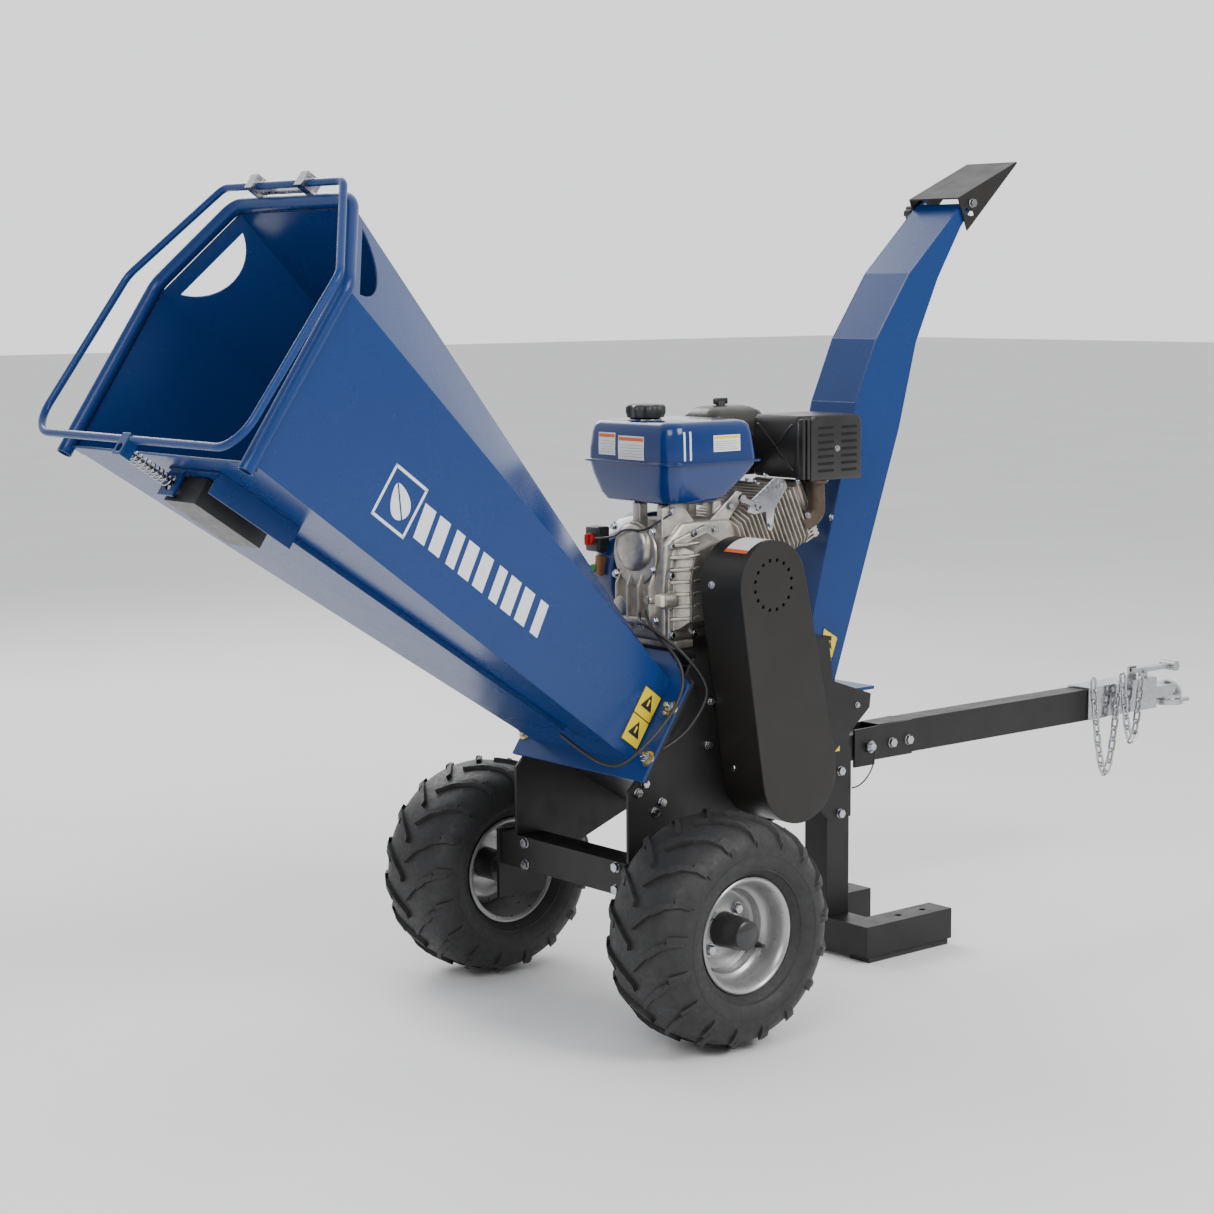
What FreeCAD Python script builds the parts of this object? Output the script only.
import FreeCAD, Part
import Sketcher
import math
import os
import re

# Towable wood chipper. +X points to the tow coupler, +Z up, -Y is the belt side.
# The origin is on the ground under the middle of the machine's overall box.
# Every sub-part is laid out from the wheel axle's line and then moved by axle_x.

Vector = FreeCAD.Vector
doc = FreeCAD.newDocument("wood_chipper")
sizes = doc.addObject("Spreadsheet::Sheet", "Sizes")

DRIVING_SIZES = [
    ("axle_x", -375),
    ("axle_z", 203),
    ("track", 646),
    ("axle_radius", 12.5),
    ("tyre_radius", 203),
    ("tyre_half", 95),
    ("rim_radius", 89),
    ("rim_flange", 100),
    ("rim_half", 74),
    ("beam_size", 60),
    ("beam_wall", 4),
    ("beam_x", -32),
    ("beam_z", 264),
    ("beam_half", 200),
    ("plate_outer", 160),
    ("plate_thick", 6),
    ("plate_foot", 235),
    ("deck_z", 640),
    ("deck_thick", 8),
    ("shell_thick", 5),
    ("rotor_x", 250),
    ("rotor_z", 430),
    ("drum_radius", 98),
    ("drum_half", 145),
    ("drum_gap", 14),
    ("shaft_radius", 17.5),
    ("running_gap", 0.05),
    ("engine_x", 183),
    ("engine_z", 772),
    ("engine_y", -26),
    ("pto_radius", 12.5),
    ("pulley_mid", -222),
    ("pulley_half", 20),
    ("clutch_radius", 55),
    ("driven_radius", 72),
    ("groove_deep", 12),
    ("belt_thick", 9),
    ("guard_front", -265),
    ("guard_back", -161),
    ("guard_wall", 3),
    ("guard_top_radius", 78),
    ("guard_low_radius", 90),
    ("vent_ring", 44),
    ("vent_radius", 3.5),
    ("hopper_tilt", 34),
    ("flange_x", -48),
    ("flange_z", 444),
    ("flange_thick", 6),
    ("flange_half", 182),
    ("hopper_long", 1011),
    ("hopper_wall", 3),
    ("hopper_floor", 28.5),
    ("throat_half", 135),
    ("mouth_half", 275),
    ("throat_fold", 190),
    ("mouth_fold", 333),
    ("throat_roof_half", 65),
    ("mouth_roof_half", 164),
    ("throat_roof", 222),
    ("mouth_roof", 487),
    ("rim_tube", 12.7),
    ("rim_tube_wall", 2),
    ("bail_tube", 6.5),
    ("bail_ahead", 1054),
    ("bail_top", 506),
    ("bail_low", 22),
    ("bail_half", 311),
    ("bail_top_half", 172),
    ("bail_knee", 331),
    ("spring_radius", 11),
    ("plunger_radius", 5),
    ("chute_half", 60),
    ("chute_wall", 3),
    ("chute_low_x", 442),
    ("chute_low_z", 530),
    ("chute_deep", 95),
    ("deflector_x", 905),
    ("deflector_z", 1446),
    ("pivot_radius", 4),
    ("post_x", 583),
    ("post_size", 60),
    ("post_top", 470),
    ("foot_top", 72),
    ("foot_pad", 12),
    ("foot_reach", 790),
    ("foot_half", 140),
    ("foot_hole_pitch", 68),
    ("foot_hole_radius", 7),
    ("tow_z", 401),
    ("tow_tall", 66),
    ("tow_wide", 50),
    ("tow_start", 700),
    ("tow_end", 1400),
    ("pin_x", 667),
    ("pin_radius", 6),
    ("ball_x", 1640),
    ("ball_radius", 25.4),
    ("coupler_tip", 1700),
    ("tank_seam", 979),
    ("cylinder_tilt", 25),
]


def fill_sheet():
    for row, (alias, value) in enumerate(DRIVING_SIZES, start=1):
        sizes.set("A%d" % row, alias.replace("_", " "))
        sizes.set("B%d" % row, str(value))
        sizes.setAlias("B%d" % row, alias)
    doc.recompute()


fill_sheet()
ALIASES = [alias for alias, value in DRIVING_SIZES]
ALIAS_PATTERN = re.compile(r"\b(" + "|".join(ALIASES) + r")\b")
subparts = []


def cell(alias):
    return float(getattr(sizes, alias))


def cells(text):
    """An expression written with bare aliases, as the document reads it."""
    return ALIAS_PATTERN.sub(r"Sizes.\1", str(text))


def keep(obj, label):
    obj.Label = label
    subparts.append(obj)
    return obj


def move(obj, along="0", across="0", up="0"):
    """Puts a laid-out sub-part in the machine's frame."""
    obj.setExpression("Placement.Base.x", cells("axle_x + %s" % along))
    obj.setExpression("Placement.Base.y", cells(across))
    obj.setExpression("Placement.Base.z", cells(up))
    return obj


def hopper_frame():
    """Local x across, local y up the mouth, local z outwards along the hopper."""
    tilt = math.radians(cell("hopper_tilt"))
    out = Vector(-math.cos(tilt), 0, math.sin(tilt))
    rise = Vector(math.sin(tilt), 0, math.cos(tilt))
    turn = FreeCAD.Rotation(Vector(0, -1, 0), rise, out, "ZXY")
    base = Vector(cell("axle_x") + cell("flange_x"), 0, cell("flange_z"))
    return FreeCAD.Placement(base, turn)


def origin_plane(body, role):
    return [item for item in body.Origin.OriginFeatures if item.Role == role][0]


def sketch_on(body, name, role, shift="0"):
    sketch = body.newObject("Sketcher::SketchObject", name)
    sketch.AttachmentSupport = (origin_plane(body, role), [""])
    sketch.MapMode = "FlatFace"
    sketch.setExpression("AttachmentOffset.Base.z", cells(shift))
    return sketch


def bind(sketch, kind, *where, to):
    index = sketch.addConstraint(Sketcher.Constraint(kind, *where, 1.0))
    sketch.setExpression("Constraints[%d]" % index, cells(to))


def outline(sketch, corners):
    """A closed straight-sided outline with each corner bound to the sheet."""
    first = sketch.GeometryCount
    count = len(corners)
    start = [Vector(math.cos(math.tau * k / count), math.sin(math.tau * k / count), 0) for k in range(count)]
    for k in range(count):
        sketch.addGeometry(Part.LineSegment(start[k], start[(k + 1) % count]), False)
    for k in range(count):
        sketch.addConstraint(Sketcher.Constraint("Coincident", first + k, 2, first + (k + 1) % count, 1))
    for k, (right, up) in enumerate(corners):
        bind(sketch, "DistanceX", -1, 1, first + k, 1, to=right)
        bind(sketch, "DistanceY", -1, 1, first + k, 1, to=up)


def ring(sketch, right, up, radius):
    index = sketch.addGeometry(Part.Circle(Vector(1, 1, 0), Vector(0, 0, 1), 1.0), False)
    bind(sketch, "DistanceX", -1, 1, index, 3, to=right)
    bind(sketch, "DistanceY", -1, 1, index, 3, to=up)
    bind(sketch, "Radius", index, to=radius)


def new_body(name):
    return doc.addObject("PartDesign::Body", name)


def pad(body, name, role, corners, length, shift="0", circles=(), both=False, back=False):
    """A straight-sided or round pad; circles are holes in it, or the pad itself."""
    sketch = sketch_on(body, name + "_outline", role, shift)
    if corners:
        outline(sketch, corners)
    for circle in circles:
        ring(sketch, *circle)
    feature = body.newObject("PartDesign::Pad", name)
    feature.Profile = sketch
    feature.setExpression("Length", cells(length))
    feature.Midplane = both
    feature.Reversed = back
    body.Tip = feature
    return feature


def pocket(body, name, role, corners, length, shift="0", circles=(), both=True):
    sketch = sketch_on(body, name + "_outline", role, shift)
    if corners:
        outline(sketch, corners)
    for circle in circles:
        ring(sketch, *circle)
    feature = body.newObject("PartDesign::Pocket", name)
    feature.Profile = sketch
    feature.setExpression("Length", cells(length))
    feature.Midplane = both
    body.Tip = feature
    return feature


def turned(body, name, corners, role="YZ_Plane"):
    """A turned piece about Y, or about X from XY_Plane; each corner is (place along the axis, radius)."""
    sketch = sketch_on(body, name + "_outline", role)
    outline(sketch, corners)
    feature = body.newObject("PartDesign::Revolution", name)
    feature.Profile = sketch
    feature.ReferenceAxis = (sketch, ["H_Axis"])
    feature.Angle = 360
    body.Tip = feature
    return feature


def plate(name, corners, thick, at, holes=(), extra="0"):
    """A flat plate in an upright plane along X; `at` is its middle in Y."""
    body = new_body(name)
    pad(body, name + "_pad", "XZ_Plane", corners, thick, circles=holes, both=True)
    move(body, across=at, up=extra)
    return body


def rectangle(low_right, low_up, high_right, high_up):
    return [(low_right, low_up), (high_right, low_up), (high_right, high_up), (low_right, high_up)]


def block(name, low, high):
    """A box from its low corner to its high corner, each three expressions."""
    box = doc.addObject("Part::Box", name)
    for side, a, b in zip(("Length", "Width", "Height"), low, high):
        box.setExpression(side, cells("(%s) - (%s)" % (b, a)))
    return move(box, "(%s)" % low[0], low[1], low[2])


def rod(name, centre, radius, length, direction="y"):
    """A round bar that starts at `centre` and runs along the named axis."""
    bar = doc.addObject("Part::Cylinder", name)
    bar.setExpression("Radius", cells(radius))
    bar.setExpression("Height", cells(length))
    turns = {"x": (Vector(0, 1, 0), 90), "y": (Vector(1, 0, 0), -90), "z": (Vector(0, 0, 1), 0)}
    bar.Placement.Rotation = FreeCAD.Rotation(*turns[direction])
    return move(bar, "(%s)" % centre[0], centre[1], centre[2])


def group(name, pieces):
    """Separate solids, or solids that are welded, as one sub-part."""
    fusion = doc.addObject("Part::MultiFuse", name)
    fusion.Shapes = pieces
    return fusion


def cut(name, base, tools):
    tool = tools[0] if len(tools) == 1 else group(name + "_tools", tools)
    result = doc.addObject("Part::Cut", name)
    result.Base = base
    result.Tool = tool
    return result


def shaped(name, shape, placement=None):
    """A sub-part whose shape is worked out here from the sheet's cells."""
    feature = doc.addObject("Part::Feature", name)
    feature.Shape = shape
    if placement is None:
        placement = FreeCAD.Placement(Vector(cell("axle_x"), 0, 0), FreeCAD.Rotation())
    feature.Placement = placement
    return feature


def corner_arc(before, corner, after, radius):
    """The arc that rounds one corner of a route, as its start, middle and end."""
    to_before = (before - corner).normalize()
    to_after = (after - corner).normalize()
    half = to_before.getAngle(to_after) / 2
    back = radius / math.tan(half)
    bisector = (to_before + to_after).normalize()
    centre = corner + bisector * (radius / math.sin(half))
    return corner + to_before * back, centre - bisector * radius, corner + to_after * back


def route_wire(points, radii, closed=False):
    """Straight runs joined by tangent arcs."""
    count = len(points)
    arcs = {}
    for k in range(count):
        if closed or 0 < k < count - 1:
            before, after = points[k - 1], points[(k + 1) % count]
            arcs[k] = corner_arc(before, points[k], after, radii[k])
    edges = []
    for k in range(count if closed else count - 1):
        following = (k + 1) % count
        start = arcs[k][2] if k in arcs else points[k]
        end = arcs[following][0] if following in arcs else points[following]
        edges.append(Part.LineSegment(start, end).toShape())
        if following in arcs:
            edges.append(Part.Arc(*arcs[following]).toShape())
    return Part.Wire(edges)


def round_bar(wire, radius):
    start = wire.Edges[0]
    direction = start.tangentAt(start.FirstParameter)
    circle = Part.Circle(start.valueAt(start.FirstParameter), direction, radius)
    section = Part.Wire(circle.toShape())
    return wire.makePipeShell([section], True, False)


def cord_radii(name, points):
    """The largest tangent arcs that the runs of a limp route allow."""
    radii = [0.0]
    for before, corner, after in zip(points, points[1:], points[2:]):
        turn = math.pi - (before - corner).getAngle(after - corner)
        shorter = min((corner - before).Length, (after - corner).Length)
        radii.append(0.45 * shorter / math.tan(turn / 2))
    radii.append(0.0)
    print(name, "bend radii", [round(radius, 1) for radius in radii[1:-1]])
    return radii


# ---------------------------------------------------------------- running gear

def wheel_pair():
    """Pressed rims with a hub tube, and block-tread tyres on them."""
    for side, sign in (("near", "-"), ("far", "")):
        middle = "%strack / 2" % sign
        tyre = new_body("tyre_" + side)
        turned(tyre, "tyre_turn", [
            ("-rim_half + 4", "rim_radius"), ("rim_half - 4", "rim_radius"),
            ("rim_half - 4", "rim_flange + 6"), ("tyre_half - 4", "rim_flange + 30"),
            ("tyre_half", "tyre_radius - 52"), ("tyre_half - 4", "tyre_radius - 24"),
            ("tyre_half - 24", "tyre_radius - 5"), ("25", "tyre_radius"), ("-25", "tyre_radius"),
            ("-tyre_half + 24", "tyre_radius - 5"), ("-tyre_half + 4", "tyre_radius - 24"),
            ("-tyre_half", "tyre_radius - 52"), ("-tyre_half + 4", "rim_flange + 30"),
            ("-rim_half + 4", "rim_flange + 6")])
        keep(move(tyre, across=middle, up="axle_z"), "tyre_" + side)

        wheel = new_body("wheel_" + side)
        bore = "axle_radius + running_gap"
        turned(wheel, "hub_turn", [
            ("-45", bore), ("45", bore), ("45", "30"), ("8", "30"), ("8", "rim_radius - 12"),
            ("rim_half - 3", "rim_radius - 4"), ("rim_half", "rim_flange - 4"),
            ("rim_half", "rim_flange"), ("rim_half - 4", "rim_flange"),
            ("rim_half - 4", "rim_radius"), ("-rim_half + 4", "rim_radius"),
            ("-rim_half + 4", "rim_flange"), ("-rim_half", "rim_flange"),
            ("-rim_half", "rim_flange - 4"), ("-rim_half + 3", "rim_radius - 4"),
            ("2", "rim_radius - 12"), ("2", "30"), ("-45", "30")])
        bolts = [("50 * cos(%d deg)" % angle, "50 * sin(%d deg)" % angle, "6") for angle in range(0, 360, 90)]
        pocket(wheel, "bolt_holes", "XZ_Plane", None, "60", circles=bolts)
        keep(move(wheel, across=middle, up="axle_z"), "wheel_" + side)


def axle():
    """Square cross beam with a stub axle and its plate bolted on each end."""
    body = new_body("axle_beam")
    half, wall = "beam_size / 2", "beam_wall"
    pad(body, "tube", "XZ_Plane", rectangle("-" + half, "-" + half, half, half), "2 * beam_half", both=True)
    inner = "(beam_size / 2 - beam_wall)"
    pocket(body, "bore", "XZ_Plane", rectangle("-" + inner, "-" + inner, inner, inner), "2 * beam_half + 2")
    keep(move(body, "beam_x", up="beam_z"), "axle_beam")

    stubs = []
    for side, sign in (("near", -1), ("far", 1)):
        inner_face = "beam_half" if sign > 0 else "-beam_half - 8"
        flange = block("stub_plate_" + side, ("beam_x - 36", inner_face, "axle_z - 34"),
                       ("beam_x + 70", inner_face + " + 8", "beam_z + 34"))
        start = "beam_half + 8" if sign > 0 else "-track / 2 - 50"
        length = "track / 2 + 50 - beam_half - 8"
        shaft = rod("stub_shaft_" + side, ("0", start, "axle_z"), "axle_radius", length)
        collar_at = "track / 2 + 46" if sign > 0 else "-track / 2 - 60"
        collar = rod("stub_collar_" + side, ("0", collar_at, "axle_z"), "axle_radius + 6", "14")
        stubs += [flange, shaft, collar]
    keep(group("stub_axles", stubs), "stub_axles")


# ---------------------------------------------------------------- frame and rotor housing

def along_hopper(out, rise):
    """A point of the hopper's middle plane, as X and Z."""
    tilt = math.radians(cell("hopper_tilt"))
    return Vector(cell("flange_x") - out * math.cos(tilt) + rise * math.sin(tilt), 0,
                  cell("flange_z") + out * math.sin(tilt) + rise * math.cos(tilt))


def side_plates():
    """Two laser-cut cheeks that carry the rotor, the engine deck and the beam."""
    face_x = "(flange_x + flange_thick * cos(hopper_tilt * 1 deg) + %s * sin(hopper_tilt * 1 deg))"
    face_z = "(flange_z - flange_thick * sin(hopper_tilt * 1 deg) + %s * cos(hopper_tilt * 1 deg))"
    beam_back, beam_top = "(beam_x + beam_size / 2)", "(beam_z + beam_size / 2)"
    corners = [
        ("-62", beam_top), (beam_back, beam_top), (beam_back, "plate_foot"),
        ("10", "plate_foot"), ("190", "rotor_z - 128"), ("345", "rotor_z - 78"),
        ("chute_low_x + 92", "chute_low_z - 26"), ("chute_low_x + 95", "chute_low_z"),
        ("chute_low_x - 6", "chute_low_z + 34"), ("chute_low_x - 16", "deck_z"),
        (face_x % "240.6", "deck_z"), (face_x % "-6", face_z % "-6"), ("-62", face_z % "-24")]
    bearing_hole = [("rotor_x", "rotor_z", "shaft_radius + 8")]
    cheeks = []
    for side, sign in (("near", "-"), ("far", "")):
        middle = "%s(plate_outer - plate_thick / 2)" % sign
        cheeks.append(plate("cheek_" + side, corners, "plate_thick", middle, bearing_hole))
    lips = []
    for side, low, high in (("near", "plate_outer", "flange_half"), ("far", "-flange_half", "-plate_outer")):
        lip = new_body("cheek_lip_" + side)
        pad(lip, "lip_pad", "XY_Plane", rectangle(low, "0", high, "200"), "6", shift="-flange_thick - 6")
        lip.Placement = hopper_frame()
        lips.append(lip)
    keep(group("side_plates", cheeks + lips), "side_plates")


def tangent_angle(point, centre, radius, side):
    """The angle round a circle where a line from a point touches it."""
    away = point - centre
    return math.atan2(away.z, away.x) + side * math.acos(radius / away.Length)


def spoke(angle):
    return Vector(math.cos(angle), 0, math.sin(angle))


def wrap_wall(start, end, centre, radius, thick, side, half):
    """A folded sheet: straight, round the rotor, straight again."""
    first = tangent_angle(start, centre, radius, side)
    last = tangent_angle(end, centre, radius, -side)
    while side * (last - first) < 0:
        last += side * math.tau
    middle = (first + last) / 2

    def edge_points(reach):
        touch = [centre + spoke(angle) * (radius + reach) for angle in (first, middle, last)]
        return [start + spoke(first) * reach] + touch + [end + spoke(last) * reach]

    inner, outer = edge_points(0), edge_points(thick)
    edges = []
    for points in (inner, outer):
        edges.append(Part.LineSegment(points[0], points[1]).toShape())
        edges.append(Part.Arc(points[1], points[2], points[3]).toShape())
        edges.append(Part.LineSegment(points[3], points[4]).toShape())
    edges.append(Part.LineSegment(inner[0], outer[0]).toShape())
    edges.append(Part.LineSegment(inner[4], outer[4]).toShape())
    face = Part.Face(Part.Wire(Part.__sortEdges__(edges)))
    wall = face.extrude(Vector(0, 2 * half, 0))
    wall.translate(Vector(0, -half, 0))
    return wall


def folded_sheet(points, inwards, half):
    """A sheet folded along a side view, as thick as the `inwards` step."""
    loop = points + [point + inwards for point in reversed(points)]
    sheet = Part.Face(Part.makePolygon(loop + loop[:1])).extrude(Vector(0, 2 * half, 0))
    sheet.translate(Vector(0, -half, 0))
    return sheet


def rotor_housing():
    """The floor and roof sheets between the cheeks, from the throat to the chute."""
    centre = Vector(cell("rotor_x"), 0, cell("rotor_z"))
    radius = cell("drum_radius") + cell("drum_gap")
    thick = cell("shell_thick")
    half = cell("plate_outer") - cell("plate_thick")
    back = -cell("flange_thick")
    low_start = along_hopper(back, cell("hopper_floor"))
    roof_start = along_hopper(back - 3, cell("throat_roof"))
    low_end = Vector(cell("chute_low_x") + cell("chute_deep"), 0, cell("chute_low_z"))
    roof_end = Vector(cell("chute_low_x"), 0, cell("chute_low_z"))
    floor = wrap_wall(low_start, low_end, centre, radius, thick, 1, half)
    roof = folded_sheet([roof_start, centre + Vector(0, 0, radius), roof_end], Vector(0, 0, thick), half)
    keep(shaped("housing_wrap", Part.makeCompound([floor, roof])), "housing_wrap")


def wrap_sweep():
    """Everything inside the housing's outer skin, to trim what is welded under it."""
    centre = Vector(cell("rotor_x"), 0, cell("rotor_z"))
    radius = cell("drum_radius") + cell("drum_gap")
    skin = cell("shell_thick") + 0.05
    end = Vector(cell("chute_low_x") + cell("chute_deep"), 0, cell("chute_low_z"))
    lean = tangent_angle(end, centre, radius, -1)
    step = spoke(lean) * skin
    rise = Vector(0, 0, 60)
    points = [centre, centre + spoke(lean) * (radius + skin), end + step, end + rise, centre + rise]
    points = [point - Vector(0, 100, 0) for point in points]
    sweep = Part.Face(Part.makePolygon(points + points[:1])).extrude(Vector(0, 200, 0))
    return shaped("housing_sweep", sweep)


def engine_deck():
    """Folded tray under the engine, with four slotted feet."""
    half = "(plate_outer)"
    tray = block("deck_tray", ("98", "-" + half, "deck_z"), ("chute_low_x - 10", half, "deck_z + deck_thick"))
    slots = []
    for k, along in enumerate(("engine_x - 70", "engine_x + 90")):
        for side, across in (("near", "-52"), ("far", "52")):
            slots.append(rod("deck_hole_%d_%s" % (k, side), (along, across, "deck_z - 2"), "5.5",
                             "deck_thick + 4", "z"))
    keep(cut("engine_deck", tray, slots), "engine_deck")


def stand():
    """Cheek gussets, the rear post, its foot and the steel pads."""
    corners = [
        ("chute_low_x - 40", "chute_low_z - 105"), ("chute_low_x + 94", "chute_low_z - 32"),
        ("post_x - 20", "512"), ("post_x + 16", "492"), ("post_x + 18", "410"),
        ("post_x + 30", "402"), ("post_x + 30", "265"), ("post_x - 30", "265"), ("post_x - 90", "330")]
    bolts = [("post_x", "358", "5.5"), ("post_x", "270 + 4", "5.5")]
    gussets = []
    for side, middle in (("near", "-(post_size / 2 + 2.5)"), ("far", "post_size / 2 + 2.5")):
        gussets.append(plate("gusset_" + side, corners, "5", middle, bolts))
    keep(cut("gusset_plates", group("gusset_pair", gussets), [wrap_sweep()]), "gusset_plates")

    half = "post_size / 2"
    post = block("post_tube", ("post_x - " + half, "-" + half, "foot_top"),
                 ("post_x + " + half, half, "post_top"))
    tongue = block("tow_tongue", ("post_x + " + half, "-tow_wide / 2", "tow_z - 24"),
                   ("pin_x + 26", "tow_wide / 2", "tow_z + 20"))
    hole = rod("tongue_hole", ("pin_x", "-40", "tow_z - 6"), "pin_radius + running_gap", "80")
    cross = [rod("post_hole_%d" % k, ("post_x", "-40", up), "5", "80")
             for k, up in enumerate(("358", "274"))]
    keep(cut("stand_post", group("post_weld", [post, tongue]), [hole] + cross), "stand_post")

    low = "foot_pad"
    bar = block("foot_cross", ("post_x - " + half, "-foot_half", low),
                ("post_x + " + half, "foot_half", "foot_top"))
    legs, holes, pads = [bar], [], []
    for side, a, b in (("near", "-foot_half", "-foot_half + 60"), ("far", "foot_half - 60", "foot_half")):
        legs.append(block("foot_leg_" + side, ("post_x + " + half, a, low), ("foot_reach", b, "foot_top")))
        pads.append(block("pad_" + side, ("post_x - 20", a + " + 4", "0"),
                          ("foot_reach - 6", b + " - 4", low)))
        for k, along in enumerate(("foot_reach - 52 - foot_hole_pitch", "foot_reach - 52")):
            across = "(%s + %s) / 2" % (a, b)
            holes.append(rod("foot_hole_%s_%d" % (side, k), (along, across, "-2"), "foot_hole_radius",
                             "80", "z"))
    keep(cut("stand_foot", group("foot_weld", legs), holes), "stand_foot")
    keep(cut("foot_pads", group("pad_pair", pads), holes), "foot_pads")


# ---------------------------------------------------------------- rotor and drive

def rotor():
    body = new_body("rotor_shaft")
    turned(body, "shaft_turn",
           rectangle("pulley_mid - pulley_half - 6", "0", "plate_outer + 34", "shaft_radius"))
    keep(move(body, "rotor_x", up="rotor_z"), "rotor_shaft")

    drum = new_body("rotor_drum")
    turned(drum, "drum_turn", rectangle("-drum_half", "shaft_radius", "drum_half", "drum_radius"))
    seats = [("drum_radius - 12", "-26", "drum_radius + 20", "30"),
             ("-drum_radius - 20", "-30", "-drum_radius + 12", "26")]
    for k, seat in enumerate(seats):
        pocket(drum, "knife_seat_%d" % k, "XZ_Plane", rectangle(*seat), "2 * drum_half + 4")
    keep(move(drum, "rotor_x", up="rotor_z"), "rotor_drum")

    edges = [[("drum_radius - 12", "-20"), ("drum_radius - 2", "-20"), ("drum_radius - 2", "18"),
              ("drum_radius + 4", "29"), ("drum_radius - 12", "29")],
             [("-drum_radius + 12", "20"), ("-drum_radius + 2", "20"), ("-drum_radius + 2", "-18"),
              ("-drum_radius - 4", "-29"), ("-drum_radius + 12", "-29")]]
    pieces = []
    for k, edge in enumerate(edges):
        knife = new_body("knife_%d" % k)
        pad(knife, "blade", "XZ_Plane", edge, "2 * drum_half - 20", both=True)
        pieces.append(move(knife, "rotor_x", up="rotor_z"))
    keep(group("rotor_knives", pieces), "rotor_knives")

    bearings = []
    for side, start in (("near", "-plate_outer - 30"), ("far", "plate_outer")):
        housing = rod("bearing_body_" + side, ("rotor_x", start, "rotor_z"), "34", "30")
        flange_at = "-plate_outer - 10" if side == "near" else "plate_outer"
        flange = block("bearing_flange_" + side, ("rotor_x - 46", flange_at, "rotor_z - 46"),
                       ("rotor_x + 46", flange_at + " + 10", "rotor_z + 46"))
        bore = rod("bearing_bore_" + side, ("rotor_x", start + " - 1", "rotor_z"),
                   "shaft_radius + running_gap", "40")
        bearings.append(cut("bearing_" + side, group("bearing_weld_" + side, [housing, flange]), [bore]))
    keep(group("rotor_bearings", bearings), "rotor_bearings")

    bed = new_body("anvil")
    pad(bed, "anvil_pad", "XZ_Plane", [("-154", "-38"), ("-102", "-69"), ("-102", "-46"), ("-154", "-28")],
        "2 * drum_half", both=True)
    keep(move(bed, "rotor_x", up="rotor_z"), "anvil")


def grooved(body, name, radius, bore):
    """A two-groove V pulley about Y, with its grooves centred on pulley_mid."""
    corners = [("-pulley_half", bore), ("pulley_half", bore), ("pulley_half", radius)]
    for middle in ("10", "-9"):
        corners += [("%s + 8" % middle, radius), ("%s + 4" % middle, "%s - groove_deep" % radius),
                    ("%s - 4" % middle, "%s - groove_deep" % radius), ("%s - 8" % middle, radius)]
    corners.append(("-pulley_half", radius))
    turned(body, name, corners)


def drive():
    shaft = new_body("crankshaft")
    turned(shaft, "crank_turn", [
        ("pulley_mid - pulley_half - 4", "0"), ("96", "0"), ("96", "pto_radius"), ("10", "pto_radius"),
        ("10", "46"), ("-6", "46"), ("-6", "pto_radius"), ("-46", "pto_radius"), ("-46", "46"),
        ("-62", "46"), ("-62", "pto_radius"), ("pulley_mid - pulley_half - 4", "pto_radius")])
    keep(move(shaft, "engine_x", up="engine_z"), "crankshaft")

    clutch = new_body("clutch_pulley")
    grooved(clutch, "clutch_turn", "clutch_radius", "pto_radius")
    keep(move(clutch, "engine_x", "pulley_mid", "engine_z"), "clutch_pulley")

    driven = new_body("driven_pulley")
    grooved(driven, "driven_turn", "driven_radius", "shaft_radius")
    keep(move(driven, "rotor_x", "pulley_mid", "rotor_z"), "driven_pulley")

    keep(shaped("belts", belt_pair()), "belts")


def stadium(small, big, r_small, r_big):
    """The closed outline round two circles in the XZ plane, as a wire."""
    away = big - small
    lean = math.atan2(away.z, away.x)
    spread = math.acos((r_small - r_big) / away.Length)
    left, right = lean + spread, lean - spread
    a, b = small + spoke(left) * r_small, small + spoke(right) * r_small
    c, d = big + spoke(right) * r_big, big + spoke(left) * r_big
    top = small - spoke(lean) * r_small
    low = big + spoke(lean) * r_big
    edges = [Part.Arc(a, top, b).toShape(), Part.LineSegment(b, c).toShape(),
             Part.Arc(c, low, d).toShape(), Part.LineSegment(d, a).toShape()]
    return Part.Wire(edges)


def belt_pair():
    """Two V belts that run in the grooves with half a millimetre to spare."""
    small = Vector(cell("engine_x"), 0, cell("engine_z"))
    big = Vector(cell("rotor_x"), 0, cell("rotor_z"))
    under = cell("groove_deep") - 2.5
    inside = [cell(name) - under for name in ("clutch_radius", "driven_radius")]
    belts = []
    for middle in (10, -9):
        outer = stadium(small, big, inside[0] + cell("belt_thick"), inside[1] + cell("belt_thick"))
        inner = stadium(small, big, inside[0], inside[1])
        belt = Part.Face(outer).extrude(Vector(0, 7.4, 0)).cut(Part.Face(inner).extrude(Vector(0, 7.4, 0)))
        belt.translate(Vector(0, cell("pulley_mid") + middle - 3.7, 0))
        belts.append(belt)
    return Part.makeCompound(belts)


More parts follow.
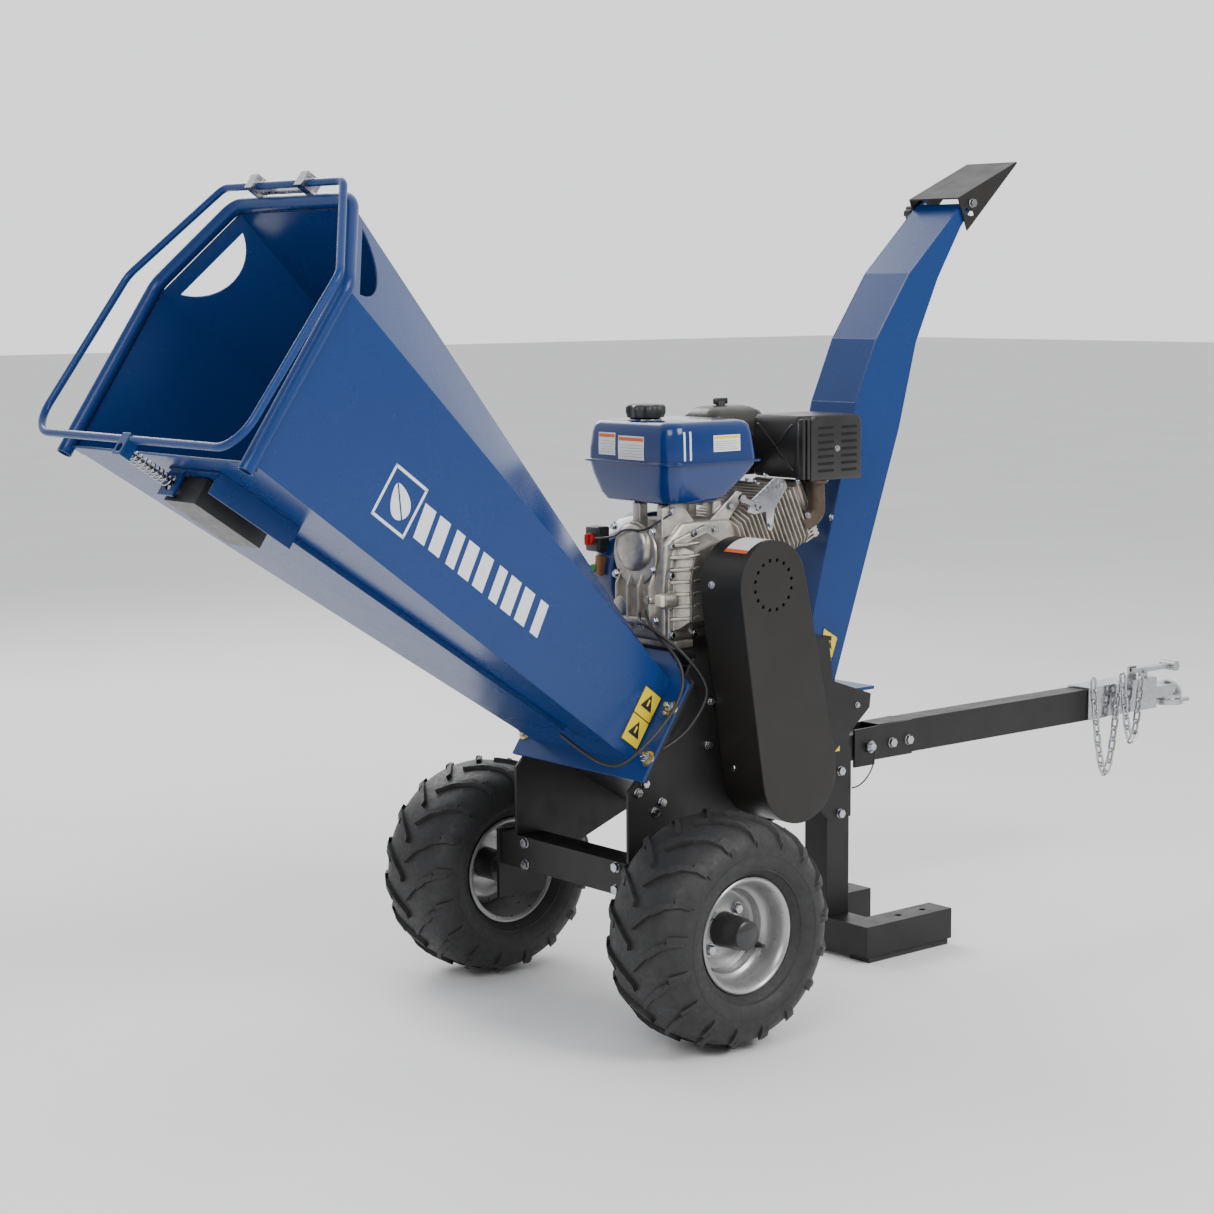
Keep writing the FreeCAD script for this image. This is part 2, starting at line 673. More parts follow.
def belt_guard():
    """Deep dish cover over both pulleys, open at the back, with a ring of vents."""
    small = Vector(cell("engine_x"), 0, cell("engine_z"))
    big = Vector(cell("rotor_x"), 0, cell("rotor_z"))
    wall = cell("guard_wall")
    front, back = cell("guard_front"), cell("guard_back")
    outer = Part.Face(stadium(small, big, cell("guard_top_radius"), cell("guard_low_radius")))
    inner = Part.Face(stadium(small, big, cell("guard_top_radius") - wall, cell("guard_low_radius") - wall))
    dish = outer.extrude(Vector(0, back - front, 0))
    hollow = inner.extrude(Vector(0, back - front, 0))
    dish.translate(Vector(0, front, 0))
    hollow.translate(Vector(0, front + wall, 0))
    shell = dish.cut(hollow)
    for k in range(16):
        at = small + spoke(math.tau * (k + 0.5) / 16) * cell("vent_ring") + Vector(0, front - 1, 0)
        shell = shell.cut(Part.makeCylinder(cell("vent_radius"), wall + 2, at, Vector(0, 1, 0)))
    keep(shaped("belt_guard", shell), "belt_guard")


# ---------------------------------------------------------------- hopper

def hopper_section(inset):
    return [
        ("-(throat_half - %s)" % inset, "hopper_floor + %s" % inset),
        ("throat_half - %s" % inset, "hopper_floor + %s" % inset),
        ("throat_half - %s" % inset, "throat_fold - %s / 3" % inset),
        ("throat_roof_half - %s / 3" % inset, "throat_roof - %s" % inset),
        ("-(throat_roof_half - %s / 3)" % inset, "throat_roof - %s" % inset),
        ("-(throat_half - %s)" % inset, "throat_fold - %s / 3" % inset)]


def hopper():
    """Folded six-sided hopper with a D-shaped hand-hold beside each upper corner."""
    body = new_body("hopper_panels")
    for kind, inset in (("AdditiveLoft", "0"), ("SubtractiveLoft", "hopper_wall")):
        throat = sketch_on(body, kind + "_throat", "XY_Plane")
        outline(throat, hopper_section(inset))
        mouth = sketch_on(body, kind + "_mouth", "XY_Plane", "hopper_long")
        outline(mouth, [(x.replace("throat", "mouth"), y.replace("throat", "mouth"))
                        for x, y in hopper_section(inset)])
        loft = body.newObject("PartDesign::" + kind, kind)
        loft.Profile = throat
        loft.Sections = [mouth]
        loft.Ruled = True
        body.Tip = loft
    doc.recompute()
    solid = body.Shape.copy()
    slope = Vector(cell("mouth_half") - cell("mouth_roof_half"), cell("mouth_fold") - cell("mouth_roof"), 0)
    chord, bulge, rim_gap = 150.0, 46.0, 24.0
    radius = (chord * chord / 4 + bulge * bulge) / (2 * bulge)
    for sign in (-1, 1):
        along = Vector(sign * slope.x, slope.y, 0).normalize()
        outwards = Vector(sign * abs(slope.y), abs(slope.x), 0).normalize()
        middle = Vector(sign * (cell("mouth_half") + cell("mouth_roof_half")) / 2,
                        (cell("mouth_fold") + cell("mouth_roof")) / 2, cell("hopper_long") - rim_gap)
        middle = middle - Vector(sign * 2.6, 6.2, 0)
        start = middle - outwards * 50
        disc = Part.makeCylinder(radius, 100, start + Vector(0, 0, radius - bulge), outwards)
        keep_side = Part.makeBox(400, 100, 200, Vector(-200, -50, -200))
        keep_side.Placement = FreeCAD.Placement(
            middle, FreeCAD.Rotation(along, outwards, Vector(0, 0, 1), "ZXY"))
        solid = solid.cut(disc.common(keep_side))
    keep(shaped("hopper", solid, hopper_frame()), "hopper")
    body.Label = "hopper_panels_blank"

    flange = new_body("hopper_flange")
    pad(flange, "flange_pad", "XY_Plane", [
        ("-flange_half", "-3"), ("flange_half", "-3"), ("flange_half", "190"), ("96", "throat_roof + 22"),
        ("-96", "throat_roof + 22"), ("-flange_half", "190")], "flange_thick", shift="-flange_thick")
    pocket(flange, "flange_mouth", "XY_Plane", hopper_section("hopper_wall"), "4 * flange_thick")
    bolts = [(across, up, "5.5")
             for across in ("-(flange_half - 11)", "flange_half - 11") for up in ("40", "139")]
    pocket(flange, "flange_bolts", "XY_Plane", None, "4 * flange_thick", circles=bolts)
    flange.Placement = hopper_frame()
    keep(flange, "hopper_flange")


def rim_and_bail():
    """The tube round the mouth and the sprung control bail in front of it."""
    out = cell("hopper_long") + cell("rim_tube")
    half, roof_half = cell("mouth_half") + 2, cell("mouth_roof_half") + 1
    low, fold, roof = 12.0, cell("mouth_fold") + 5, cell("mouth_roof") + 6
    corners = [Vector(half - 2, low, out), Vector(half + 1, fold, out), Vector(roof_half, roof, out),
               Vector(-roof_half, roof, out), Vector(-half - 1, fold, out), Vector(-half + 2, low, out)]
    wire = route_wire(corners, [0, 45, 45, 45, 45, 0])
    tube = round_bar(wire, cell("rim_tube"))
    bore = round_bar(wire, cell("rim_tube") - cell("rim_tube_wall"))
    lip = Part.makeBox(2 * half - 30, 4, 24, Vector(-half + 15, cell("hopper_floor") - 4.0, out - 24))
    keep(shaped("rim_tube", Part.makeCompound([tube.cut(bore), lip]), hopper_frame()), "rim_tube")

    ahead = cell("bail_ahead")
    lean = 20.0 / (cell("bail_top") - cell("bail_low"))

    def bail_point(across, rise):
        return Vector(across, rise, ahead + lean * (cell("bail_top") - rise))

    top, knee, bottom = cell("bail_top"), cell("bail_knee"), cell("bail_low")
    corners = [bail_point(cell("bail_top_half"), top), bail_point(cell("bail_half"), knee),
               bail_point(cell("bail_half"), bottom), bail_point(-cell("bail_half"), bottom),
               bail_point(-cell("bail_half"), knee), bail_point(-cell("bail_top_half"), top)]
    loop = round_bar(route_wire(corners, [30, 40, 55, 55, 40, 30], closed=True), cell("bail_tube"))
    centre = bail_point(0, bottom)
    lug = Part.makeBox(24, 38, 20, Vector(-12, bottom - 30, centre.z - 13))
    socket = Part.makeCylinder(cell("plunger_radius") + 2.5, 60, Vector(0, bottom - 18, centre.z - 50),
                               Vector(0, 0, 1))
    keep(shaped("control_bail", loop.fuse(lug).cut(socket), hopper_frame()), "control_bail")

    clamps = []
    for across in (-72, 72):
        jaw = Part.makeBox(20, 26, 32, Vector(across - 10, top - 13, ahead - 18))
        jaw = jaw.cut(Part.makeCylinder(cell("bail_tube") + cell("running_gap"), 24,
                                        Vector(across - 12, top, ahead), Vector(1, 0, 0)))
        clamps.append(jaw)
    strap = Part.makeBox(124, 16, 3, Vector(-62, top - 8, ahead - 15))
    body = clamps[0].fuse([clamps[1], strap])
    keep(shaped("bail_clamps", body.cut(tube), hopper_frame()), "bail_clamps")


def bail_linkage():
    """Spring, plunger and the switch box that the bail trips, under the hopper."""
    frame = hopper_frame()
    low = cell("bail_low") - 18
    start = 892.0
    end = cell("bail_ahead") + 20 - 13
    spring_end = end - 1.5
    spring_start = 975.0
    coil = Part.makeCylinder(cell("spring_radius"), spring_end - spring_start, Vector(0, low, spring_start),
                             Vector(0, 0, 1))
    coil = coil.cut(Part.makeCylinder(cell("plunger_radius") + 1, 200, Vector(0, low, spring_start - 20),
                                      Vector(0, 0, 1)))
    keep(shaped("bail_spring", coil, frame), "bail_spring")
    plunger = Part.makeCylinder(cell("plunger_radius"), end + 10 - start, Vector(0, low, start),
                                Vector(0, 0, 1))
    keep(shaped("switch_plunger", plunger, frame), "switch_plunger")

    floor = cell("hopper_floor")
    shelf = Part.makeBox(150, 4, 170, Vector(-15, floor - 4, 812))
    skirt = Part.makeBox(4, 34, 170, Vector(131, floor - 38, 812))
    stop = Part.makeBox(44, 42, 5, Vector(-22, floor - 46, 970))
    stop = stop.cut(Part.makeCylinder(cell("spring_radius") + 1.5, 20, Vector(0, low, 960), Vector(0, 0, 1)))
    channel = Part.makeBox(30, 10, 690, Vector(45, floor - 10, 118))
    channel = channel.cut(Part.makeBox(24, 8, 700, Vector(48, floor - 8, 112)))
    bracket = Part.makeCompound([shelf.fuse([skirt, stop]), channel])
    keep(shaped("switch_bracket", bracket, frame), "switch_bracket")

    box = Part.makeBox(92, 44, 138, Vector(-14, floor - 50, 826))
    box = box.cut(Part.makeCylinder(cell("plunger_radius") + 1, 110, Vector(0, low, 860), Vector(0, 0, 1)))
    box = box.cut(Part.makeCylinder(cell("spring_radius") + 1.5, 30, Vector(0, low, 940), Vector(0, 0, 1)))
    keep(shaped("switch_box", box, frame), "switch_box")


# ---------------------------------------------------------------- chute

def chute():
    """Duct of welded plates that leans back and curls over, open below at its end."""
    low_x, low_z, deep = cell("chute_low_x"), cell("chute_low_z"), cell("chute_deep")
    back = [Vector(low_x, 0, low_z), Vector(594, 0, 1068), Vector(649, 0, 1187), Vector(738, 0, 1311),
            Vector(872, 0, 1434)]
    front = [Vector(low_x + deep, 0, low_z), Vector(712, 0, 1016), Vector(757, 0, 1179), Vector(817, 0, 1302),
             Vector(880, 0, 1400)]
    half, wall = cell("chute_half"), cell("chute_wall")
    pivot = Vector(cell("deflector_x"), 0, cell("deflector_z"))
    ear = [pivot + Vector(2, 0, -14), pivot + Vector(14, 0, 0), pivot + Vector(2, 0, 13)]

    def side_sheet(across):
        points = back + [ear[2], ear[1], ear[0]] + front[::-1]
        sheet = Part.Face(Part.makePolygon(points + points[:1])).extrude(Vector(0, wall, 0))
        sheet.translate(Vector(0, across, 0))
        hole = Part.makeCylinder(cell("pivot_radius") + cell("running_gap"), 200, pivot - Vector(0, 100, 0),
                                 Vector(0, 1, 0))
        return sheet.cut(hole)

    plates = [side_sheet(-half), side_sheet(half - wall)]
    for points, inwards in ((back + [Vector(884, 0, 1445)], Vector(wall, 0, -0.6)),
                            (front[:3], Vector(-wall, 0, 0.6))):
        for run in zip(points, points[1:]):
            plates.append(folded_sheet(list(run), inwards, half - wall))
    reach = cell("plate_outer") - cell("plate_thick")
    foot = Part.makeBox(deep + 30, 2 * reach, 6, Vector(low_x - 15, -reach, low_z + 6))
    plates.append(max(foot.cut(plates).Solids, key=lambda solid: solid.Volume))
    keep(shaped("chute", Part.makeCompound(plates)), "chute")

    deflector(pivot)


def deflector(pivot):
    """Hinged hood on the chute's end, held by a slot and a hand knob."""
    half, wall = cell("chute_half") + 2.5, 3.0
    rear, tip = Vector(868, 0, 1453), Vector(1037, 0, 1526)
    low = Vector(894, 0, 1393)
    cheek_points = [rear, tip, low]
    cheeks = []
    for across in (-half - wall, half):
        cheek = Part.Face(Part.makePolygon(cheek_points + cheek_points[:1])).extrude(Vector(0, wall, 0))
        cheek.translate(Vector(0, across, 0))
        cheeks.append(cheek)
    rise = (tip - rear).normalize()
    normal = Vector(-rise.z, 0, rise.x)
    top_points = [rear, tip, tip + normal * wall, rear + normal * wall]
    top = Part.Face(Part.makePolygon(top_points + top_points[:1])).extrude(Vector(0, 2 * (half + wall), 0))
    top.translate(Vector(0, -half - wall, 0))
    hood = cheeks[0].fuse([cheeks[1], top])
    slot_radius, slot_half = 20.0, 4.5
    back = pivot - Vector(0, 100, 0)
    sleeve = Part.makeCylinder(slot_radius + slot_half, 200, back, Vector(0, 1, 0))
    sleeve = sleeve.cut(Part.makeCylinder(slot_radius - slot_half, 200, back, Vector(0, 1, 0)))
    wedge_points = [pivot] + [pivot + spoke(math.radians(angle)) * 60 for angle in (212, 250, 292)]
    wedge = Part.Face(Part.makePolygon(wedge_points + wedge_points[:1])).extrude(Vector(0, 200, 0))
    wedge.translate(Vector(0, -100, 0))
    pivot_hole = Part.makeCylinder(cell("pivot_radius") + cell("running_gap"), 200, back, Vector(0, 1, 0))
    hood = hood.cut(sleeve.common(wedge)).cut(pivot_hole)
    keep(shaped("deflector", hood), "deflector")

    knob_at = pivot + spoke(math.radians(236)) * slot_radius
    stud = Part.makeCylinder(3.8, 20, knob_at + Vector(0, half - 2.4, 0), Vector(0, 1, 0))
    collar = Part.makeCylinder(8, 9, knob_at + Vector(0, half + wall + 0.5, 0), Vector(0, 1, 0))
    lobes = Part.makeCylinder(15, 16, knob_at + Vector(0, half + wall + 9, 0), Vector(0, 1, 0))
    for k in range(5):
        notch = knob_at + spoke(math.tau * k / 5) * 18 + Vector(0, half, 0)
        lobes = lobes.cut(Part.makeCylinder(5.5, 40, notch, Vector(0, 1, 0)))
    keep(shaped("deflector_knob", stud.fuse([collar, lobes])), "deflector_knob")


# ---------------------------------------------------------------- engine

def engine_core():
    """Crankcase, its power-side cover, the finned cylinder and the rocker cover."""
    case = new_body("crankcase")
    pad(case, "case_pad", "XZ_Plane", [
        ("-105", "-112"), ("115", "-112"), ("122", "-40"), ("100", "60"), ("60", "104"),
        ("-60", "104"), ("-112", "60"), ("-118", "-60")], "132", both=True)
    for name, x in (("fore_leg", "-92"), ("aft_leg", "26")):
        pad(case, name, "XZ_Plane", rectangle(x, "90", x + " + 26", "133"), "70", both=True)
    for name, x in (("fore_foot", "-84"), ("aft_foot", "66")):
        pad(case, name, "XZ_Plane", rectangle(x, "deck_z + deck_thick - engine_z", x + " + 44", "-110"), "150",
            both=True)
    pocket(case, "case_bore", "XZ_Plane", None, "116", circles=[("0", "0", "52")])
    pocket(case, "shaft_bore", "XZ_Plane", None, "200", circles=[("0", "0", "pto_radius + running_gap")])
    keep(move(case, "engine_x", "engine_y", "engine_z"), "crankcase")

    cover = new_body("crankcase_cover")
    pad(cover, "cover_pad", "XZ_Plane", [
        ("-100", "-104"), ("50", "-104"), ("62", "-60"), ("62", "20"), ("40", "70"), ("-10", "96"),
        ("-84", "70"), ("-100", "0")], "26", circles=[("0", "0", "pto_radius + running_gap")])
    pad(cover, "boss", "XZ_Plane", None, "14", shift="26",
        circles=[("0", "0", "40"), ("0", "0", "pto_radius + running_gap")])
    pocket(cover, "filler_bore", "YZ_Plane", None, "60", shift="-100", circles=[("-13", "-33", "8.05")])
    keep(move(cover, "engine_x", "engine_y - 66", "engine_z"), "crankcase_cover")

    first, pitch, count = 98, 11, 13
    comb = [("90", "-46")]
    for k in range(count):
        at = first + k * pitch
        comb += [("%d" % at, "-46"), ("%d" % at, "-66"), ("%d" % (at + 4), "-66"), ("%d" % (at + 4), "-46")]
    comb += [("250", "-46"), ("250", "45"), ("236", "46")]
    for k in reversed(range(count)):
        at = first + k * pitch
        comb += [("%d" % (at + 4), "46"), ("%d" % (at + 4), "66"), ("%d" % at, "66"), ("%d" % at, "46")]
    comb.append(("90", "46"))
    block_body = new_body("cylinder_blank")
    pad(block_body, "fin_pad", "XZ_Plane", comb, "141", shift="-66")
    pad(block_body, "head_pad", "XZ_Plane", rectangle("246", "-75", "290", "45"), "124", shift="-66")
    cover_body = new_body("rocker_cover")
    pad(cover_body, "rocker_pad", "XZ_Plane", [("290", "-50"), ("312", "-46"), ("318", "-36"), ("318", "20"),
                                               ("312", "28"), ("290", "32")], "104", both=True)
    turn = FreeCAD.Rotation(Vector(0, 1, 0), -cell("cylinder_tilt"))
    base = Vector(cell("axle_x") + cell("engine_x"), cell("engine_y"), cell("engine_z"))
    for body in (block_body, cover_body):
        body.Placement = FreeCAD.Placement(base, turn)
    doc.recompute()
    space = doc.addObject("Part::Feature", "case_space")
    space.Shape = case.Shape.copy()
    head = cut("cylinder_block", block_body, [space])
    bracket = block("control_bracket", ("272", "-104", "880"), ("372", "-101", "942"))
    bracket_leg = block("control_bracket_leg", ("318", "-104", "848"), ("336", "-101", "880"))
    pin = rod("throttle_pin", ("300", "-111", "890"), "3", "9")
    keep(group("cylinder", [head, bracket, bracket_leg, pin]), "cylinder")
    keep(cover_body, "rocker_cover")


def engine_dress():
    """Tank, air cleaner, silencer and cooling shroud round the engine."""
    tank = new_body("fuel_tank")
    sections = [
        ("tank_low", "905", ("78", "-112", "214", "84")),
        ("tank_seam", "tank_seam - 3", ("64", "-130", "285", "110")),
        ("tank_edge", "tank_seam + 3", ("64", "-130", "285", "110")),
        ("tank_top", "1052", ("70", "-122", "264", "92"))]
    sketches = []
    for name, up, box in sections:
        sketch = sketch_on(tank, name + "_section", "XY_Plane", up)
        outline(sketch, rectangle(*box))
        sketches.append(sketch)
    for k in range(3):
        loft = tank.newObject("PartDesign::AdditiveLoft", "tank_loft_%d" % k)
        loft.Profile = sketches[k]
        loft.Sections = [sketches[k + 1]]
        loft.Ruled = True
        tank.Tip = loft
    pad(tank, "filler", "XY_Plane", None, "14", shift="1052", circles=[("118", "0", "22")])
    pocket(tank, "filler_bore", "XY_Plane", None, "60", shift="1052", circles=[("118", "0", "16")])
    keep(move(tank), "fuel_tank")

    cap = new_body("fuel_cap")
    pad(cap, "cap_skirt", "XY_Plane", None, "20", circles=[("0", "0", "32"), ("0", "0", "23")])
    pad(cap, "cap_top", "XY_Plane", None, "6", shift="20", circles=[("0", "0", "32")])
    keep(move(cap, "118", "0", "1054"), "fuel_cap")

    filter_base = block("filter_base", ("300", "20", "938"), ("440", "122", "1004"))
    filter_lid = block("filter_lid", ("297", "16", "1006"), ("450", "126", "1066"))
    neck = block("filter_neck", ("330", "50", "1003"), ("410", "100", "1007"))
    foot = block("filter_foot", ("320", "50", "880"), ("380", "100", "940"))
    stud = rod("filter_stud", ("365", "70", "1060"), "4", "14", "z")
    choke_pin = rod("choke_pin", ("350", "99", "908"), "3", "9")
    keep(group("air_cleaner", [filter_base, filter_lid, neck, foot, stud, choke_pin]), "air_cleaner")

    knob = new_body("filter_knob")
    pad(knob, "knob_pad", "XY_Plane", [("-18", "-5"), ("18", "-5"), ("18", "5"), ("-18", "5")], "14",
        circles=[("0", "0", "4 + running_gap")])
    keep(move(knob, "365", "70", "1067"), "filter_knob")

    box = block("silencer_box", ("388", "-118", "936"), ("542", "10", "1050"))
    shield = block("silencer_shield", ("385", "-125", "932"), ("545", "-119", "1055"))
    spacer = block("silencer_spacer", ("440", "-120", "960"), ("490", "-117", "1020"))
    pipe_route = [Vector(446, -101, 940), Vector(450, -101, 866), Vector(420, -78, 852)]
    pipe = shaped("exhaust_elbow", round_bar(route_wire(pipe_route, [0, 22, 0]), 16))
    keep(cut("muffler", group("muffler_weld", [box, shield, spacer, pipe]), [copy_of_head()]), "muffler")

    shroud = new_body("shroud")
    turned(shroud, "shroud_turn", [
        ("40", "30"), ("40", "110"), ("98", "108"), ("112", "80"), ("120", "40"), ("117", "0"), ("112", "0"),
        ("115", "38"), ("107", "76"), ("94", "102"), ("45", "104"), ("45", "30")])
    switch_case = block("switch_case", ("62", "66", "812"), ("84", "104", "858"))
    rope_hole = shaped("rope_hole", Part.makeCylinder(4, 60), handle_frame(90))
    keep(cut("recoil_housing", group("shroud_weld", [move(shroud, "engine_x", up="engine_z"), switch_case]),
             [rope_hole]), "recoil_housing")


def handle_frame(reach):
    """On the starter housing's rim, with local z along the rope's pull."""
    lean = math.radians(8)
    at = Vector(cell("engine_x"), 84, cell("engine_z")) + spoke(lean) * reach
    return FreeCAD.Placement(at + Vector(cell("axle_x"), 0, 0), FreeCAD.Rotation(Vector(0, 0, 1), spoke(lean)))


def copy_of_head():
    """The cylinder's outline, so that the exhaust pipe ends on the metal."""
    doc.recompute()
    feature = doc.addObject("Part::Feature", "head_copy")
    feature.Shape = doc.getObject("cylinder_block").Shape.copy()
    return feature


def engine_controls():
    """Levers, switch, dipstick and starter grip."""
    dip = new_body("dipstick")
    turned(dip, "dip_turn", [("22", "0"), ("-20", "0"), ("-20", "11"), ("-0.5", "12.5"), ("-0.5", "8"),
                             ("22", "8")], role="XY_Plane")
    keep(move(dip, "engine_x - 100", "engine_y - 79", "engine_z - 33"), "dipstick")

    grip = Part.makeBox(12, 40, 14, Vector(-6, -20, 2))
    neck = Part.makeCylinder(2.5, 20, Vector(0, 0, -16), Vector(0, 0, 1))
    keep(shaped("recoil_handle", grip.fuse(neck), handle_frame(114)), "recoil_handle")

    lever_plate("throttle_lever", "300", "-106", "890", 50, 158, -7)
    lever_plate("choke_lever", "350", "103", "908", 40, 5, 0)
    button = new_body("engine_switch")
    turned(button, "switch_turn", [("0", "0"), ("-9", "0"), ("-9", "12"), ("0", "12")], role="XY_Plane")
    keep(move(button, "61.9", "85", "835"), "engine_switch")


def lever_plate(name, along, across, up, length, lean, grip_start):
    """A flat lever on a round pivot pin, leaning the given number of degrees above +X."""
    arm = Part.makeBox(length, 3, 9, Vector(0, -1.5, -4.5))
    eye = Part.makeCylinder(7, 3, Vector(0, -1.5, 0), Vector(0, 1, 0))
    knob = Part.makeCylinder(7.5, 7, Vector(length, grip_start, 0), Vector(0, 1, 0))
    lever = arm.fuse([eye, knob])
    lever.rotate(Vector(0, 0, 0), Vector(0, 1, 0), -lean)
    lever = lever.cut(Part.makeCylinder(3 + cell("running_gap"), 20, Vector(0, -10, 0), Vector(0, 1, 0)))
    feature = move(shaped(name, lever), along, across, up)
    keep(feature, name)


# ---------------------------------------------------------------- tow gear

def tow_gear():
    """Bracket, draw bar, ball coupler with its latch, hitch pin and chains."""
    side = "tow_wide / 2"
    corners = [("628", "tow_z - 44"), ("684", "tow_z - 44"), ("684", "tow_z - 35"), ("790", "tow_z - 35"),
               ("790", "tow_z + 33"), ("628", "tow_z + 30")]
    pin_hole = [("pin_x", "tow_z - 6", "pin_radius + running_gap")]
    bolt_holes = [("731", "tow_z - 6", "5.5"), ("778", "tow_z - 6", "5.5")]
    cheeks = [plate("bracket_" + name, corners, "5", middle, pin_hole + bolt_holes)
              for name, middle in (("near", "-(tow_wide / 2 + 2.5)"), ("far", "tow_wide / 2 + 2.5"))]
    keep(group("tow_bracket", cheeks), "tow_bracket")

    outer = block("bar_outer", ("tow_start", "-" + side, "tow_z - tow_tall / 2"),
                  ("tow_end", side, "tow_z + tow_tall / 2"))
    inner = block("bar_inner", ("tow_start - 1", "-tow_wide / 2 + 4", "tow_z - tow_tall / 2 + 4"),
                  ("tow_end + 1", "tow_wide / 2 - 4", "tow_z + tow_tall / 2 - 4"))
    holes = [rod("bar_hole_%d" % k, (along, "-40", "tow_z - 6"), "5", "80")
             for k, along in enumerate(("731", "778"))]
    keep(cut("tow_bar", outer, [inner] + holes), "tow_bar")

    pin = new_body("hitch_pin")
    turned(pin, "pin_turn", [("-44", "0"), ("44", "0"), ("44", "pin_radius - 2"), ("42", "pin_radius"),
                             ("-30.2", "pin_radius"), ("-30.2", "12"), ("-38", "12"), ("-44", "7")])
    keep(move(pin, "pin_x", up="tow_z - 6"), "hitch_pin")

    coupler()
    chains()


def coupler():
    """Pressed-steel channel over the bar's end, with a ball socket and a latch."""
    top, tall = cell("tow_z") + 37, 68.0
    ball = Vector(cell("ball_x"), 0, cell("tow_z") - 12)
    channel = Part.makeBox(230, 58, tall, Vector(1335, -29, top - tall))
    channel = channel.cut(Part.makeBox(232, 51, tall, Vector(1334, -25.5, top - tall - 4)))
    dome = Part.makeSphere(cell("ball_radius") + 6.5, ball)
    skirt = Part.makeCylinder(cell("ball_radius") + 10, 12, ball - Vector(0, 0, 20), Vector(0, 0, 1))
    nose = Part.makeBox(90, 54, 24, Vector(1545, -27, ball.z + 2))
    hollow = Part.makeSphere(cell("ball_radius") + 0.5, ball)
    throat = Part.makeCylinder(cell("ball_radius") + 0.5, 60, ball - Vector(0, 0, 60), Vector(0, 0, 1))
    tip = Part.makeBox(cell("coupler_tip") - cell("ball_x"), 30, 8, Vector(cell("ball_x"), -15, ball.z - 20))
    body = channel.fuse([dome, nose, skirt, tip]).cut(hollow.fuse(throat))
    body = body.cut(Part.makeBox(160, 51, 40, Vector(1400, -25.5, top - tall - 6)))
    hinge = Vector(1534, 0, top + 14)
    for across in (-18, 12):
        ear = Part.makeBox(24, 6, 24, Vector(1522, across, top - 2))
        body = body.fuse(ear)
    bore = Part.makeCylinder(4 + cell("running_gap"), 60, hinge - Vector(0, 30, 0), Vector(0, 1, 0))
    keep(shaped("coupler", body.cut(bore).removeSplitter()), "coupler")

    lever = Part.makeBox(124, 20, 9, Vector(1526, -10, top + 10))
    grip = Part.makeCylinder(11, 40, Vector(1645, 0, top + 14.5) - Vector(0, 20, 0), Vector(0, 1, 0))
    pin = Part.makeCylinder(4, 44, hinge - Vector(0, 22, 0), Vector(0, 1, 0))
    keep(shaped("coupler_latch", lever.fuse([grip, pin]).removeSplitter()), "coupler_latch")


def chain_link(centre, along, flat):
    """One oval link: a round bar bent into a stadium, centred on a point."""
    along = Vector(along).normalize()
    flat = (Vector(flat) - along * flat.dot(along)).normalize()
    reach, half, wire_radius = 9.0, 6.5, 2.6
    a, b = centre + along * reach, centre - along * reach
    edges = [Part.Arc(a + flat * half, a + along * half, a - flat * half).toShape(),
             Part.LineSegment(a - flat * half, b - flat * half).toShape(),
             Part.Arc(b - flat * half, b - along * half, b + flat * half).toShape(),
             Part.LineSegment(b + flat * half, a + flat * half).toShape()]
    return round_bar(Part.Wire(edges), wire_radius)


def chains():
    """Two safety chains that hang in bights from the coupler's side."""
    links = []
    pitch = 23.5
    for start, drop, span, across in ((1332, 190, 84, -44), (1430, 130, 62, -44)):
        steps = [hanging_point(start, drop, span, across, k / 600) for k in range(601)]
        walked, due = 0.0, 0.0
        for before, after in zip(steps, steps[1:]):
            if walked >= due:
                tangent = (after - before).normalize()
                side = Vector(0, 1, 0) if len(links) % 2 else tangent.cross(Vector(0, 1, 0))
                links.append(chain_link(before, tangent, side))
                due += pitch
            walked += (after - before).Length
    keep(shaped("safety_chain", Part.makeCompound(links)), "safety_chain")


def hanging_point(start, drop, span, across, share):
    sag = 4 * drop * share * (1 - share)
    return Vector(start + span * share, across, cell("tow_z") + 45 - sag)


# ---------------------------------------------------------------- fasteners and cords

def hex_bolt(at, direction, across_flats, length):
    """Hexagon head outside the plate and a shank that runs back from it."""
    direction = Vector(direction).normalize()
    turn = FreeCAD.Rotation(Vector(0, 0, 1), direction)
    corner = across_flats / math.sqrt(3)
    points = [Vector(corner * math.cos(math.tau * k / 6), corner * math.sin(math.tau * k / 6), 0)
              for k in range(6)]
    head = Part.Face(Part.makePolygon(points + points[:1])).extrude(Vector(0, 0, 0.4 * across_flats))
    washer = Part.makeCylinder(0.62 * across_flats, 1.6)
    head.translate(Vector(0, 0, 1.6))
    bolt = head.fuse(washer)
    if length:
        bolt = bolt.fuse(Part.makeCylinder(0.28 * across_flats, length, Vector(0, 0, -length), Vector(0, 0, 1)))
    bolt.Placement = FreeCAD.Placement(at, turn)
    return bolt


